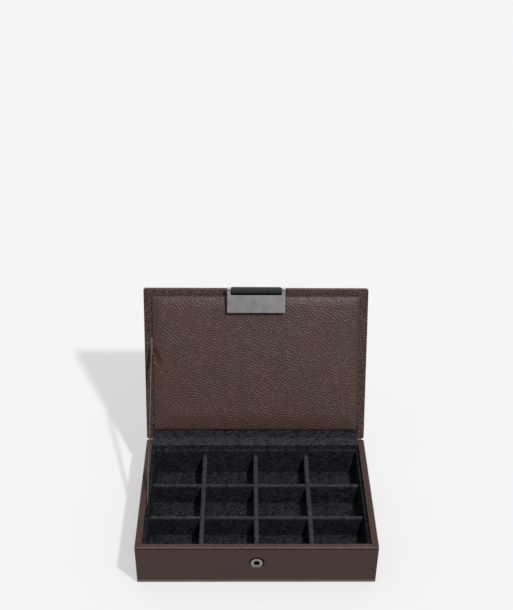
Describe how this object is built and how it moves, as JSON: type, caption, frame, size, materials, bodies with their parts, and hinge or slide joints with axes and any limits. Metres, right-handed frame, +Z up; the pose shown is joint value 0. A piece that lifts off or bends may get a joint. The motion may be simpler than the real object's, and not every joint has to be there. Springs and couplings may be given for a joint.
{
  "type": "cufflink display box",
  "caption": "Hinged leatherette box with a velvet tray of square compartments, a padded lid held by a ribbon stay, and a metal clasp plate on a ribbon strap.",
  "frame": {"origin": "centre of the base's underside, on the surface that it stands on", "axes": "+Z up, +X to the right as seen from the front, -Y out of the front wall; the lid opens towards +Y"},
  "size_m": [0.1806, 0.1825, 0.1581],
  "materials": {
    "leatherette": "fine-grained wrap, satin",
    "pad_leatherette": "crumpled grain, satin",
    "board": "fibreboard, hidden under the wrap",
    "card": "grey board",
    "velvet": "short-pile velvet, charcoal",
    "lining": "thin velvet lining",
    "felt": "pressed felt",
    "foam": "soft foam sheet",
    "strap_ribbon": "woven ribbon, charcoal",
    "stay_ribbon": "woven ribbon, taupe",
    "gunmetal": "satin gunmetal plating",
    "nickel": "satin nickel plating"
  },
  "bodies": {
    "base": {"base_bottom_board": "board", "base_front_wall": "board", "base_back_wall": "board", "base_left_wall": "board", "base_right_wall": "board", "base_underside_felt": "felt", "base_wrap": "leatherette", "back_rim_lining": "lining", "tray_floor_board": "card", "tray_floor_pad": "velvet", "liner_left": "velvet", "liner_right": "velvet", "liner_front": "velvet", "liner_back": "velvet", "divider_across_1": "velvet", "divider_across_2": "velvet", "divider_deep_1": "velvet", "divider_deep_2": "velvet", "divider_deep_3": "velvet", "stay_tail": "stay_ribbon", "stay_ribbon": "stay_ribbon", "hinge_spine": "leatherette", "hinge_lining": "lining", "snap_socket": "nickel", "snap_spring": "nickel", "snap_post": "nickel"},
    "lid": {"lid_board": "board", "lid_wrap": "leatherette", "lid_rim_lining": "lining", "pad_card": "card", "pad_foam": "foam", "pad_cover": "pad_leatherette", "stay_tab": "stay_ribbon", "strap_ribbon": "strap_ribbon"},
    "strap": {"strap_loop": "strap_ribbon", "strap_bar": "gunmetal"},
    "clasp": {"clasp_plate": "gunmetal", "snap_stud": "gunmetal"}
  },
  "joints": [
    {"name": "lid_hinge", "type": "hinge", "parent": "base", "child": "lid", "pos_m": [0, 0.0627, 0.03715], "axis": [1, 0, 0], "range_deg": [0, 112.9], "deforming": ["hinge_spine", "hinge_lining", "stay_ribbon"]},
    {"name": "strap_fold", "type": "hinge", "parent": "lid", "child": "strap", "pos_m": [0, 0.10436, 0.15698], "axis": [1, 0, 0], "range_deg": [-102.5, 0]},
    {"name": "plate_swing", "type": "hinge", "parent": "strap", "child": "clasp", "pos_m": [0, 0.10436, 0.15698], "axis": [1, 0, 0], "range_deg": [-150, 12.5]}
  ],
  "couplings": [
    {"joint": "strap_fold", "follows": "lid_hinge", "ratio": -0.90788}
  ]
}
